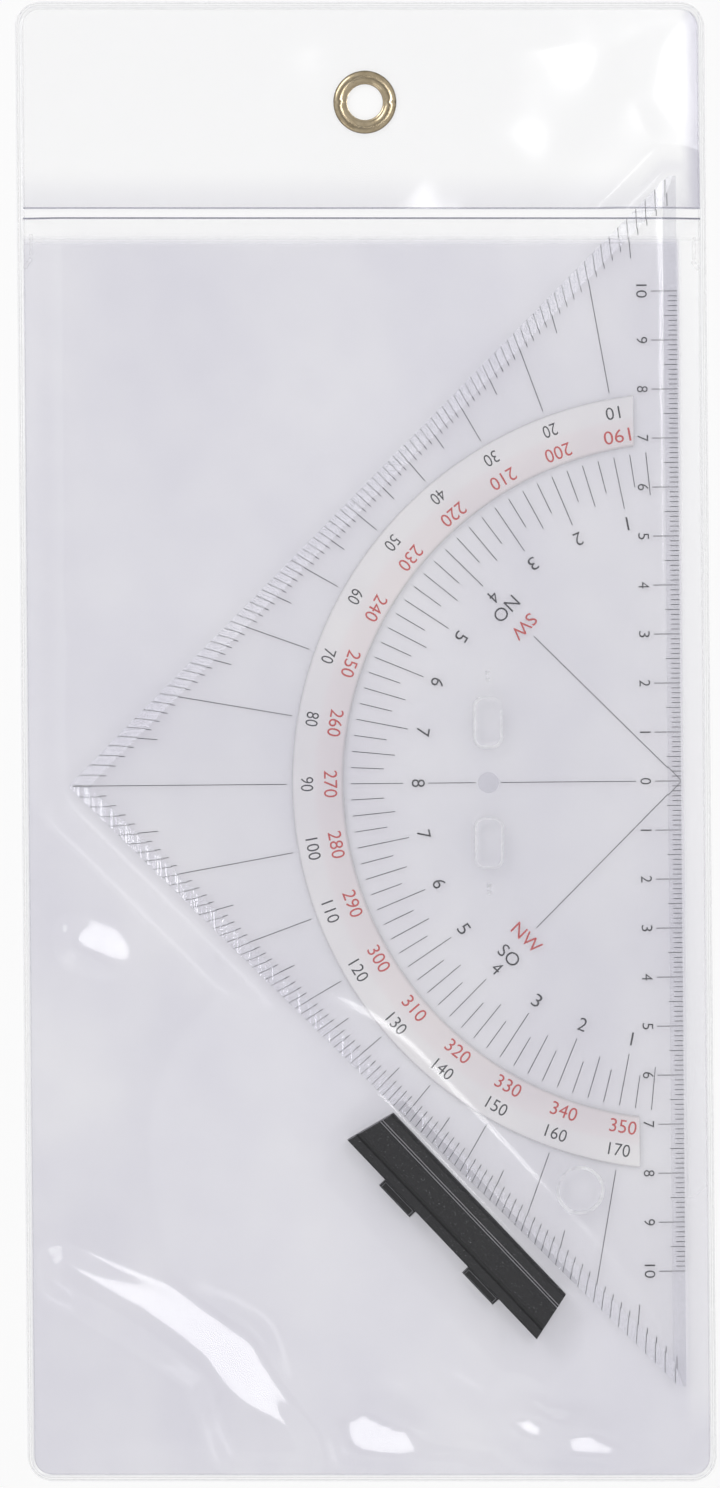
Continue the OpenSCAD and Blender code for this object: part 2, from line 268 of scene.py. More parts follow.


# clear plastic that lets light and scattered rays straight through; faces with a dull share are partly dull white:
# on the milled bevels that is their finish, on the rims of the holes and slots a painted highlight
def acrylicMaterial(name, roughness, shadowTint, dullShare, grainScale=1500, base=(1.0, 1.0, 1.0)):
    material, n, links, skin = newMaterial(name)
    skin.inputs["Base Color"].default_value = (*base, 1)
    skin.inputs["Roughness"].default_value = roughness
    skin.inputs["IOR"].default_value = 1.49
    skin.inputs["Transmission Weight"].default_value = 1.0
    if not dullShare:
        scratches = noiseNode(n, links, 900, 2, 0.6, stretch=(1, 0.06, 1), turn=0.5)
        addBump(n, links, scratches.outputs["Fac"], skin.inputs["Normal"], 0.04, 0.2 * mm)
    through = n.new("ShaderNodeBsdfTransparent")
    through.inputs["Color"].default_value = (*shadowTint, 1)
    seen = skin.outputs[0]
    if dullShare:
        dull = n.new("ShaderNodeBsdfDiffuse")
        dull.inputs["Color"].default_value = (0.97, 0.97, 0.98, 1)
        grain = noiseNode(n, links, grainScale, 3, 0.6)
        share = ramp(n, links, grain.outputs["Fac"], 0.35, 0.7, dullShare * 0.4, dullShare * 1.6)
        seen = mixShaders(n, links, share, skin.outputs[0], dull.outputs[0])
    lit = mixShaders(n, links, rayOf(n, "Is Diffuse Ray"), seen, through.outputs[0])
    seen = mixShaders(n, links, rayOf(n, "Is Shadow Ray"), lit, through.outputs[0])
    links.new(seen, n["Material Output"].inputs["Surface"])
    return material


def inkMaterial(name, colour, thin):
    material, n, links, skin = newMaterial(name)
    patches = noiseNode(n, links, 1400, 3, 0.6)
    shade = colourRamp(n, links, patches.outputs["Fac"], [(0.35, colour), (0.75, thin)])
    links.new(shade, skin.inputs["Base Color"])
    skin.inputs["Roughness"].default_value = 0.55
    return material


# the degree band: reddish inside, pale outside, with a grey line at both rims; the one at the inner rim is a painted
# shadow
def frostedMaterial():
    material, n, links, skin = newMaterial("frostedPrintWithShadow")
    coordinates = n.new("ShaderNodeTexCoord")
    offset = n.new("ShaderNodeVectorMath")
    offset.operation = "SUBTRACT"
    offset.inputs[1].default_value = (square["x"], square["y"], 0)
    links.new(coordinates.outputs["Object"], offset.inputs[0])
    length = n.new("ShaderNodeVectorMath")
    length.operation = "LENGTH"
    links.new(offset.outputs["Vector"], length.inputs[0])
    shade = ramp(n, links, length.outputs["Value"], square["bandInner"], square["bandOuter"], 0, 1)
    mottle = noiseNode(n, links, 160, 4, 0.6)
    blend = n.new("ShaderNodeMix")
    blend.data_type = "RGBA"
    blend.inputs["Factor"].default_value = 0.12
    # the grey stop at the inner rim is a painted shadow
    colour = colourRamp(n, links, shade, [(0.0, (0.58, 0.55, 0.57)), (0.05, (0.89, 0.82, 0.835)),
                                          (0.48, (0.93, 0.87, 0.885)), (0.60, (0.95, 0.925, 0.935)),
                                          (0.97, (0.95, 0.93, 0.94)), (1.0, (0.58, 0.57, 0.59))])
    spots = colourRamp(n, links, mottle.outputs["Fac"], [(0.3, (0.95, 0.94, 0.95)), (0.7, (0.84, 0.82, 0.84))])
    links.new(colour, blend.inputs["A"])
    links.new(spots, blend.inputs["B"])
    links.new(blend.outputs["Result"], skin.inputs["Base Color"])
    skin.inputs["Roughness"].default_value = 0.6
    return material


def brassMaterial():
    material, n, links, skin = newMaterial("antiqueBrass")
    patina = noiseNode(n, links, 420, 5, 0.65)
    shade = colourRamp(n, links, patina.outputs["Fac"], [(0.30, (0.30, 0.24, 0.155)), (0.50, (0.43, 0.355, 0.24)),
                                                         (0.75, (0.49, 0.415, 0.30))])
    links.new(shade, skin.inputs["Base Color"])
    links.new(ramp(n, links, patina.outputs["Fac"], 0.3, 0.7, 0.26, 0.14), skin.inputs["Roughness"])
    skin.inputs["Metallic"].default_value = 1.0
    fine = noiseNode(n, links, 2600, 3, 0.6)
    addBump(n, links, fine.outputs["Fac"], skin.inputs["Normal"], 0.05, 0.1 * mm)
    return material


def plasticMaterial(name, dark, plain, dusty):
    material, n, links, skin = newMaterial(name)
    dust = noiseNode(n, links, 3800, 2, 0.55)
    specks = colourRamp(n, links, dust.outputs["Fac"], [(0.0, dark), (0.64, plain), (0.72, dusty)])
    links.new(specks, skin.inputs["Base Color"])
    wear = noiseNode(n, links, 260, 4, 0.6)
    links.new(ramp(n, links, wear.outputs["Fac"], 0.3, 0.7, 0.34, 0.52), skin.inputs["Roughness"])
    skin.inputs["Specular IOR Level"].default_value = 0.3
    addBump(n, links, dust.outputs["Fac"], skin.inputs["Normal"], 0.10, 0.1 * mm)
    return material


# places as the frame has them: the set square in metres from its protractor's centre, the others in mm
square = {
    "x": 64.2 * mm, "y": -8.6 * mm, "reach": 125 * mm, "tip": 123.5 * mm, "print": 1.5 * mm,
    "bandInner": 69 * mm, "bandOuter": 79.3 * mm,
}
heights = {"back": 0.25, "backTop": 0.5, "film": 0.25}
wallet = {
    "width": 140.6, "height": 302.0, "innerWidth": 138.0, "innerHeight": 299.4, "innerRadius": 3.7,
    "stripLow": 108.7, "mouth": 106.9, "hemLow": 102.3, "shear": 0.009,
}
halfWide, halfHigh = wallet["innerWidth"] / 2, wallet["innerHeight"] / 2
handlePlace = {
    "x": 14.6, "y": -101.6, "turn": math.radians(-46.95), "length": 56.0, "height": 10.6, "foot": 1.7, "slip": 6.0,
}
eyeletPlace = {"centre": (0.9, 130.5), "barrel": 4.05}

pocketFilm = filmMaterial("pocketFilm", (0.999, 0.999, 0.999), 0.006, (0.97, 0.97, 0.985),
                          deepTintAndShade=(0.966, 0.965, 0.976))
# the strip's deeper colour is a painted shade along the right weld, the lower edge and beside the set square
stripFilm = filmMaterial("stripFilm", (0.999, 0.999, 0.999), 0.012, (0.95, 0.945, 0.975),
                         deepTintAndShade=(0.82, 0.815, 0.855))
hemFilm = filmMaterial("hemFilm", (0.999, 0.999, 0.999), 0.004, (0.98, 0.98, 0.985), index=1.12)
backFilm = filmMaterial("backFilm", (0.998, 0.998, 0.999), 0.008, (0.94, 0.93, 0.97),
                        deepTintAndShade=(0.955, 0.953, 0.967), index=1.15)
# the cut edge's darker film is a painted shade line
cutEdgeShadeFilm = filmMaterial("cutEdgeShadeFilm", (0.80, 0.80, 0.84), 0.30, (0.50, 0.50, 0.56))
weldFilm = filmMaterial("weldedFilm", (0.998, 0.998, 0.998), 0.16, (0.97, 0.97, 0.98), 0.15, 0.5)
# the weld groove's darker film is a painted shade
grooveShadeFilm = filmMaterial("weldGrooveShade", (0.93, 0.93, 0.95), 0.16, (0.76, 0.76, 0.80), 0.2, 0.5)
acrylic = acrylicMaterial("clearAcrylic", 0.01, (0.995, 0.995, 0.995), 0.0)
# the bevels' darker base colour is a painted shade; their dull share is their milled finish
dullShadedAcrylic = acrylicMaterial("dullShadedAcrylic", 0.0, (0.86, 0.86, 0.885), 0.05, 1500, (0.77, 0.77, 0.81))
wallAcrylic = acrylicMaterial("acrylicWalls", 0.05, (0.45, 0.45, 0.49), 0.12)
# the rims' dull white is a painted highlight
rimHighlightAcrylic = acrylicMaterial("rimHighlightAcrylic", 0.04, (0.60, 0.60, 0.64), 0.75, 160)
blackInk = inkMaterial("blackInk", (0.040, 0.040, 0.046), (0.085, 0.085, 0.095))
redInk = inkMaterial("redInk", (0.60, 0.085, 0.085), (0.68, 0.16, 0.15))
frosted = frostedMaterial()
brass = brassMaterial()
blackPlastic = plasticMaterial("blackPlastic", (0.010, 0.010, 0.011), (0.0125, 0.0125, 0.014), (0.13, 0.13, 0.135))
# lighter plastic on ridge and end faces: wear and painted highlight
wornHighlightPlastic = plasticMaterial("wornHighlightPlastic", (0.16, 0.16, 0.17), (0.25, 0.245, 0.26), (0.38, 0.38, 0.39))
# lighter plastic on rounded edges: wear and painted highlight
edgeWearAndHighlightPlastic = plasticMaterial("edgeWearAndHighlightPlastic", (0.12, 0.12, 0.126), (0.17, 0.17, 0.178), (0.32, 0.32, 0.33))
# near black plastic in the groove and foot recesses: painted shade
recessShadePlastic = plasticMaterial("recessShadePlastic", (0.004, 0.004, 0.005), (0.006, 0.006, 0.007), (0.02, 0.02, 0.02))
print("materials made")

lamps = {  # place, size, power; the film's flat spots face the near one
    "lampUpper": ((-0.62, 0.62, 1.08), (0.60, 0.36), 2.7),
    "lampLower": ((-0.63, -0.61, 1.08), (0.42, 0.26), 0.7),
    "lampNear": ((0.20, 0.16, 1.05), (0.19, 0.15), 0.85),
}


# how far a point lies outside the set square, or outside what it sweeps while it is drawn out
def besideSquare(x, y):
    u = square["x"] / mm - x
    v = y - square["y"] / mm
    reach = square["reach"] / mm
    v = max(0.0, -v) if y < wallet["mouth"] + sheetShape["rowSlack"] else abs(v)
    return max(0.0, -u, u - reach, v - square["tip"] / mm, (u + v - reach) / math.sqrt(2))


# a point in the handle's own directions, in mm
def onHandle(x, y):
    dx, dy = x - handlePlace["x"], y - handlePlace["y"]
    cos, sin = math.cos(handlePlace["turn"]), math.sin(handlePlace["turn"])
    return dx * cos + dy * sin, -dx * sin + dy * cos


def besideHandle(x, y, slipped):
    along, up = onHandle(x, y + slipped)
    return math.hypot(max(0.0, abs(along) - handlePlace["length"] / 2),
                      max(0.0, -handlePlace["foot"] - up, (up - handlePlace["height"]) * sheetShape["plateSide"]))


def drape(gap, reach, margin):
    return 1 - smoothStep((gap - margin) / reach)


# an even fall from 1 to 0, soft at both ends
def tent(gap, reach, margin, soft=0.09):
    t = clamp((gap - margin) / reach)
    slope = 1 / (1 - soft)
    if t < soft:
        return 1 - slope * t * t / (2 * soft)
    if t > 1 - soft:
        return slope * (1 - t) ** 2 / (2 * soft)
    return 1 - slope * (t - soft / 2)


sheetShape = {  # lifts, reaches and margins of the film over the plate and the handle
    "plateLift": 3.34, "plateMargin": 0.9, "plateDrape": 9.0, "stripDrape": 6.0, "edgeRamp": 8.5,
    "handleLift": 8.05, "handleMargin": 1.5, "handleDrape": 40.0, "plateSide": 2.6,
    "weldDrape": 19.0, "weldUneven": 0.5, "joining": 3.0,
    "columns": 150, "rowSlack": 0.01, "cut": 0.35, "calm": 9.0, "flatReach": 4.0, "least": 0.05,
    "weldWobble": (13, 19, 5.2), "longRipple": (22, 30, 3.1), "shortRipple": (9, 12, 7.7),
}


# the film's height over a point
def filmHeight(x, y, drapeReach):
    toEdge = min(halfWide - abs(x), halfHigh - abs(y))
    rise = math.sin(clamp(toEdge / sheetShape["edgeRamp"]) * math.pi / 2)
    lift = sheetShape["plateLift"] * rise * drape(besideSquare(x, y), drapeReach, sheetShape["plateMargin"])
    gap = min(besideHandle(x, y, 0), besideHandle(x, y, handlePlace["slip"]))
    bulge = sheetShape["handleLift"] * tent(gap, sheetShape["handleDrape"], sheetShape["handleMargin"])
    uneven = 1 + sheetShape["weldUneven"] * wobble(x, y, *sheetShape["weldWobble"])
    bulge *= smoothStep(toEdge / (sheetShape["weldDrape"] * uneven))
    power = sheetShape["joining"]
    return heights["backTop"] + (lift ** power + bulge ** power) ** (1 / power)


folds = [  # from, to, half width, height: soft creases beside the apex
    ((-52, 10), (-65, 30), 4.0, 0.3),
    ((-62, -12), (-58, -4), 5.0, 0.4),
]
glints = [  # a path and its half widths: flat spots that mirror the near lamp
    ([(-62.5, -108.5), (-46, -115.5), (-29, -125.5), (-20.5, -148.4)], [1.2, 3.6, 5.2, 5.6]),
    ([(1.2, -142.2), (2.4, -142.8)], [5.6, 5.2]),
    ([(14, -147.4), (22, -148.0)], [1.2, 1.4]),
    ([(29.6, -134.8), (33.5, -141), (36.0, -146.2)], [0.5, 2.6, 1.8]),
    ([(42, -141.2), (46, -147)], [2.0, 2.8]),
    ([(-57.5, -40.5), (-52.0, -41.5)], [1.6, 2.4]),
]
glintShape = {"fade": 6.0, "most": 1.6, "least": 0.7, "tilt": 0.14, "hollow": 0.00031}
swellShape = {"height": 0.6, "fromSquare": (8, 10), "fromHandle": (30, 14)}


# the slope that mirrors the near lamp into the camera
def facing(x, y):
    toLamp = (Vector(lamps["lampNear"][0]) - Vector((x, y, 0)) * mm).normalized()
    toCamera = Vector((view["centre"][0] - x * mm, view["centre"][1] - y * mm, distance)).normalized()
    half = toLamp + toCamera
    return -half.x / half.z, -half.y / half.z


# the height z of a point, drawn towards the flat spots near it
def flattened(x, y, z):
    for path, widths in glints:
        outside = math.inf
        for k in range(len(path) - 1):
            t, gap = besideStretch(x, y, path[k], path[k + 1])
            outside = min(outside, gap - widths[k] - t * (widths[k + 1] - widths[k]))
        share = 1 - smoothStep(outside / glintShape["fade"])
        if share > 0:
            midX = sum(p[0] for p in path) / len(path)
            midY = sum(p[1] for p in path) / len(path)
            slopeX, slopeY = facing(midX, midY)
            rises = [slopeX * (p[0] - midX) + slopeY * (p[1] - midY) for p in path]
            natural = [filmHeight(p[0], p[1], sheetShape["plateDrape"]) - rise for p, rise in zip(path, rises)]
            lowest = glintShape["least"] - min(rises) + glintShape["tilt"] * max(widths)
            level = max(sum(natural) / len(natural), lowest)
            dx, dy = x - midX, y - midY
            flat = level + slopeX * dx + slopeY * dy + glintShape["hollow"] * (dx * dx + dy * dy)
            z += share * clamp(flat - z, -glintShape["most"], glintShape["most"])
    return z


# small creases and swells where the film lies free
def creases(x, y):
    total = 0.0
    for first, last, half, height in folds:
        t, gap = besideStretch(x, y, first, last)
        total += height * math.exp(-(gap / half) ** 2) * math.sin(math.pi * (0.15 + 0.7 * t))
    (start, reach), (handleStart, handleReach) = swellShape["fromSquare"], swellShape["fromHandle"]
    free = smoothStep((besideSquare(x, y) - start) / reach)
    free *= smoothStep((besideHandle(x, y, 0) - handleStart) / handleReach)
    swell = noise.noise(Vector((x / 21 + 4.2, y / 17 - 1.3, 0.7))) + 0.5
    return total + swellShape["height"] * free * max(0.0, swell)


# rows of a sheet, with a narrow one along an open edge
def sheetRows(low, high, steps, openLow=False, openHigh=False):
    rows = [low + (high - low) * k / steps for k in range(steps + 1)]
    if openLow:
        rows[1] = low + sheetShape["cut"]
    if openHigh:
        rows[-2] = high - sheetShape["cut"]
    return rows


# a sheet of film, as wide as the wallet's inside; the cut edge is darker, a painted shade line
def filmSheet(name, rows, lift, wave, drapeReach, material, openEdge):
    steps = len(rows) - 1
    bpy.ops.mesh.primitive_grid_add(x_subdivisions=sheetShape["columns"], y_subdivisions=steps, size=2)
    piece = bpy.context.object
    piece.name = name
    radius = wallet["innerRadius"]
    lowest = heights["backTop"] + sheetShape["least"]
    for vertex in piece.data.vertices:
        y = rows[round((vertex.co.y + 1) / 2 * steps)]
        toEnd = halfHigh - abs(y)
        inset = radius - math.sqrt(max(0.0, radius ** 2 - (radius - toEnd) ** 2)) if toEnd < radius else 0.0
        x = vertex.co.x * (halfWide - inset)
        toEdge = min(halfWide - abs(x), toEnd)
        z = filmHeight(x, y, drapeReach) + lift
        ripple = wobble(x, y, *sheetShape["longRipple"]) + 0.4 * wobble(x, y, *sheetShape["shortRipple"])
        z += smoothStep(toEdge / sheetShape["calm"]) * (wave * (0.6 + ripple) + creases(x, y))
        z += smoothStep(toEdge / sheetShape["flatReach"]) * (max(flattened(x, y, z), lowest) - z)
        vertex.co = Vector((x, y, z)) * mm
    addModifier(piece, "SOLIDIFY", thickness=heights["film"] * mm, offset=1.0)
    smoothen(piece, 40)
    dress(piece, material, cutEdgeShadeFilm)
    for face in piece.data.polygons:
        if abs(face.center.y / mm - openEdge) < sheetShape["cut"] + sheetShape["rowSlack"]:
            face.material_index = 1
    return piece


def punch(piece, place, radius):
    bpy.ops.mesh.primitive_cylinder_add(vertices=96, radius=radius * mm, depth=6 * mm,
                                        location=(place[0] * mm, place[1] * mm, 0))
    tool = bpy.context.object
    addModifier(piece, "BOOLEAN", object=tool, operation="DIFFERENCE", solver="EXACT")
    selectOnly(tool)
    bpy.ops.object.delete()


# an attribute that the film's material reads: how veiled, or how deeply tinted, which on the header strip is a
# painted shade
def veilBy(piece, rule, name="veil"):
    attribute = piece.data.attributes.new(name, "FLOAT", "POINT")
    for i, vertex in enumerate(piece.data.vertices):
        attribute.data[i].value = rule(vertex.co.x / mm, vertex.co.y / mm)


tintsAndShades = {  # where the films are tinted or veiled, and where painted shade lies on the header strip: starts and reaches in mm, then strengths
    "besideSquare": (0.1, 0.7), "belowTip": (-143, 12), "belowHem": (-1.5, 3),
    "hemLine": (0.8, 0.10), "stripLow": (9, 0.28), "stripFoot": (2.2, 1.7, 0.22),
    "stripSide": (65.0, 3.6, 0.95), "stripInner": (60, 6), "stripCorner": (56, 12, 0.8),
    "longPatch": (24, 34, 9.4), "shortPatch": (7, 9, 2.2), "backVeil": 0.32,
    "hemCuts": (-4, 10), "sideCuts": (0.2, 6),
}


# 1 in the pocket, 0 over the hem and right of the set square; right of the set square the film is left clear as a
# painted highlight
def pocketDepth(x, y):
    fromSquare, reach = tintsAndShades["besideSquare"]
    tipStart, tipReach = tintsAndShades["belowTip"]
    hemStart, hemReach = tintsAndShades["belowHem"]
    beside = smoothStep((x - square["x"] / mm - fromSquare) / reach) * smoothStep((y - tipStart) / tipReach)
    return (1 - smoothStep((y - wallet["hemLow"] - hemStart) / hemReach)) * (1 - beside)


def patchyDepth(x, y):
    patch = 0.6 + 0.6 * wobble(x, y, *tintsAndShades["longPatch"]) + 0.3 * wobble(x, y, *tintsAndShades["shortPatch"])
    return pocketDepth(x, y) * clamp(patch)


# painted shade on the header strip: darker along the right weld, rounded into the strip's lower edge, and where the
# film comes down
def stripDepth(x, y):
    cornerStart, cornerReach, cornerShare = tintsAndShades["stripCorner"]
    corner = math.hypot(max(0.0, x - cornerStart), max(0.0, wallet["stripLow"] + cornerReach - y)) / cornerReach
    sideStart, sideReach, sideShare = tintsAndShades["stripSide"]
    innerStart, innerReach = tintsAndShades["stripInner"]
    side = smoothStep(max(x - sideStart, sideReach * (corner - cornerShare)) / sideReach)
    side *= smoothStep((x - innerStart) / innerReach)
    lowReach, lowShare = tintsAndShades["stripLow"]
    low = 1 - smoothStep((y - wallet["stripLow"]) / lowReach)
    footPlace, footWidth, footShare = tintsAndShades["stripFoot"]
    gap = besideSquare(x, y)
    foot = math.exp(-((gap - footPlace) / footWidth) ** 2) if gap > 0 else 0.0
    return max(sideShare * side, lowShare * low, footShare * foot)


def hemVeil(x, y):
    reach, share = tintsAndShades["hemLine"]
    return share * (1 - smoothStep((y - wallet["hemLow"]) / reach))


pocket = filmSheet("pocketSheet", sheetRows(-halfHigh, wallet["mouth"], 240, openHigh=True), 0.0, 0.10,
                   sheetShape["plateDrape"], pocketFilm, wallet["mouth"])
veilBy(pocket, lambda x, y: 0.0)
veilBy(pocket, patchyDepth, "depth")
settle(pocket, "wallet", "film", "pocket_front")

hem = filmSheet("hemSheet", sheetRows(wallet["hemLow"], wallet["mouth"], 10, openHigh=True), heights["film"], 0.10,
                sheetShape["plateDrape"], hemFilm, wallet["mouth"])
veilBy(hem, hemVeil)
settle(hem, "wallet", "film", "mouth_hem")

strip = filmSheet("stripSheet", sheetRows(wallet["stripLow"], halfHigh, 64, openLow=True), 0.0, 0.06,
                  sheetShape["stripDrape"], stripFilm, wallet["stripLow"])
punch(strip, eyeletPlace["centre"], eyeletPlace["barrel"])
veilBy(strip, lambda x, y: 0.0)
veilBy(strip, stripDepth, "depth")
settle(strip, "wallet", "film", "header_front")
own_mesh(strip)
print("front films made")

# the back sheet, cut where its tint changes
bpy.ops.mesh.primitive_plane_add(size=1, location=(0, 0, heights["back"] * mm))
back = bpy.context.object
back.name = "backSheet"
back.scale = (wallet["innerWidth"] * mm, wallet["innerHeight"] * mm, 1)
applyAll(back)
editMode(back, "VERT")
operate(bpy.ops.mesh.select_all, action="SELECT")
operate(bpy.ops.mesh.bevel, offset=wallet["innerRadius"] * mm, segments=8, affect="VERTICES")
addModifier(back, "SOLIDIFY", thickness=heights["film"] * mm, offset=1.0)
editMode(back, "FACE")
bpy.ops.object.mode_set(mode="EDIT")
cutStart, cutCount = tintsAndShades["hemCuts"]
cuts = [((0, (wallet["hemLow"] + cutStart + k) * mm, 0), (0, 1, 0)) for k in range(cutCount)]
cutStep, cutCount = tintsAndShades["sideCuts"]
cuts += [((square["x"] + cutStep * k * mm, 0, 0), (1, 0, 0)) for k in range(cutCount)]
for place, across in cuts:
    bpy.ops.mesh.select_all(action="SELECT")
    bpy.ops.mesh.bisect(plane_co=place, plane_no=across)
bpy.ops.object.mode_set(mode="OBJECT")
punch(back, eyeletPlace["centre"], eyeletPlace["barrel"])
dress(back, backFilm)
veilBy(back, lambda x, y: tintsAndShades["backVeil"] * pocketDepth(x, y))
veilBy(back, pocketDepth, "depth")
settle(back, "wallet", "film", "wallet_back")
print("back film made")


# the welded edge: a flange, a bead and a groove inside it
weld = {  # steps: distance in from the outer edge, height
    "steps": [(0.10, 0.60), (0.28, 0.70), (0.36, 0.62), (0.46, 0.86), (0.62, 0.95), (0.86, 0.95), (0.98, 0.86),
              (1.10, 0.62), (1.22, 0.60), (1.30, 0.70)],
    "start": 0.46, "thickness": 0.4, "corner": 5.0, "segments": 12, "rimLine": 0.12, "groove": (1.10, 1.24),
    "beadRound": 0.19,
}
mouthWelds = [  # place, size, turn of the short welds beside the mouth
    ((-67.5, 101.4, 0.85), (0.8, 4.4, 0.45), 0.0), ((-68.2, 97.6, 0.80), (0.8, 2.6, 0.4), -0.55),
    ((67.8, 100.6, 1.35), (0.8, 4.6, 0.55), 0.0), ((68.1, 97.2, 1.20), (0.9, 2.2, 0.5), 0.6),
]
bpy.ops.mesh.primitive_plane_add(size=1, location=(0, 0, weld["start"] * mm))
ring = bpy.context.object
ring.name = "weldedEdge"
ring.scale = (wallet["width"] * mm, wallet["height"] * mm, 1)
applyAll(ring)
editMode(ring, "VERT")
operate(bpy.ops.mesh.select_all, action="SELECT")
operate(bpy.ops.mesh.bevel, offset=weld["corner"] * mm, segments=weld["segments"], affect="VERTICES")
bpy.ops.object.mode_set(mode="EDIT")
bpy.ops.mesh.select_mode(type="FACE")
bpy.ops.mesh.select_all(action="SELECT")
place, level = 0.0, weld["start"]
for inset, height in weld["steps"]:
    bpy.ops.mesh.inset(thickness=(inset - place) * mm, depth=0, use_even_offset=True)
    bpy.ops.transform.translate(value=(0, 0, (height - level) * mm))
    place, level = inset, height
bpy.ops.mesh.delete(type="FACE")
bpy.ops.object.mode_set(mode="OBJECT")
addModifier(ring, "SOLIDIFY", thickness=weld["thickness"] * mm, offset=-1.0)
beads = []
for place, size, turn in mouthWelds:
    bpy.ops.mesh.primitive_cube_add(size=1, location=[v * mm for v in place], rotation=(0, 0, turn))
    bead = bpy.context.object
    bead.scale = [v * mm for v in size]
    applyAll(bead)
    editMode(bead, "EDGE")
    operate(bpy.ops.mesh.select_all, action="SELECT")
    operate(bpy.ops.mesh.bevel, offset=weld["beadRound"] * mm, segments=3, affect="EDGES")
    beads.append(bead)
selectOnly(*beads, ring)
bpy.ops.object.join()
ring = bpy.context.object
smoothen(ring, 35)
dress(ring, weldFilm, grooveShadeFilm)
# the outer rim line and the groove take the darker film, a painted shade
for face in ring.data.polygons:
    sideways = wallet["width"] / 2 - abs(face.center.x) / mm
    inwards = min(sideways, wallet["height"] / 2 - abs(face.center.y) / mm)
    if face.normal.z > 0 and (inwards < weld["rimLine"] or weld["groove"][0] < inwards < weld["groove"][1]):
        face.material_index = 1
veilBy(ring, lambda x, y: 0.0)
settle(ring, "wallet", "film", "edge_weld")
print("weld made")


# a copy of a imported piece, cleaned, to finish face by face
def copyNode(nodeName, name):
    selectOnly(nodes[nodeName])
    bpy.ops.object.duplicate()
    piece = bpy.context.object
    piece.name = name
    piece.parent = None
    for key in list(piece.keys()):
        if key.startswith("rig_"):
            del piece[key]
    editMode(piece, "VERT")
    operate(bpy.ops.mesh.select_all, action="SELECT")
    operate(bpy.ops.mesh.remove_doubles, threshold=0.001 * mm)
    operate(bpy.ops.mesh.dissolve_limited, angle_limit=math.radians(0.5))
    return piece


# rounds the chosen edges; their new faces get the material of that number
def roundEdges(piece, chosen, width, steps, materialNumber):
    sides, picked = {}, []
    for face in piece.data.polygons:
        for key in face.edge_keys:
            sides.setdefault(key, []).append(face.normal.copy())
    for edge in piece.data.edges:
        normals = sides.get(edge.key, [])
        if len(normals) == 2 and normals[0].angle(normals[1]) > math.radians(25):
            middle = (piece.data.vertices[edge.vertices[0]].co + piece.data.vertices[edge.vertices[1]].co) / 2
            if chosen(middle / mm, normals):
                picked.append(edge.index)
    editMode(piece, "EDGE")
    for index in picked:
        piece.data.edges[index].select = True
    operate(bpy.ops.mesh.bevel, offset=width * mm, segments=steps, affect="EDGES", clamp_overlap=True,
            material=materialNumber)
    print(piece.name, "edges rounded", len(picked))


# the clear plate, a hair above its print
plateCuts = {  # slots, hanging hole and sunk marks, with a little room round each, in mm
    "slotX": 24.9, "slotOut": 12.3, "slotHalf": (3.3, 5.5), "hole": (42.9, -91.9), "holeRadius": 5.3,
    "markHalf": 2.5, "farMarks": (20, 24), "markLevels": (3.0, 3.48), "gateRadius": 2.1,
    "rounding": 0.24, "overPrint": 0.01,
}
plate = copyNode("plate", "clearPlate")
plate.location.z = plateCuts["overPrint"] * mm
dress(plate, acrylic, dullShadedAcrylic, wallAcrylic, rimHighlightAcrylic)


def inHoles(p, normals):
    side, out = abs(p.x - plateCuts["slotX"]), abs(p.y - square["y"] / mm)
    halfAcross, halfAlong = plateCuts["slotHalf"]
    slots = side < halfAcross and abs(out - plateCuts["slotOut"]) < halfAlong
    hole = math.hypot(p.x - plateCuts["hole"][0], p.y - plateCuts["hole"][1]) < plateCuts["holeRadius"]
    far = plateCuts["farMarks"][0] < out < plateCuts["farMarks"][1]
    marksSunk = side < plateCuts["markHalf"] and (out < plateCuts["markHalf"] or far)
    return slots or hole or marksSunk


# bevels take the dull acrylic, its darker colour a painted shade; walls take the wall acrylic
for face in plate.data.polygons:
    if 0.5 < face.normal.z < 0.98:
        face.material_index = 1
    elif abs(face.normal.z) <= 0.5:
        face.material_index = 2
roundEdges(plate, inHoles, plateCuts["rounding"], 3, 3)
for face in plate.data.polygons:
    face.use_smooth = face.material_index == 3
    p = face.center / mm
    sunk = plateCuts["markLevels"][0] < p.z < plateCuts["markLevels"][1] and face.normal.z > 0.3
    # sunk rims of holes and slots take the painted highlight; gate floors take the dull acrylic with its painted
    # shade
    if sunk and inHoles(p, ()):
        gate = math.hypot(p.x - plateCuts["slotX"], p.y - square["y"] / mm) < plateCuts["gateRadius"]
        face.material_index = 1 if gate else 3
settle(plate, "set_square", "acrylic", "plate")
print("plate made")


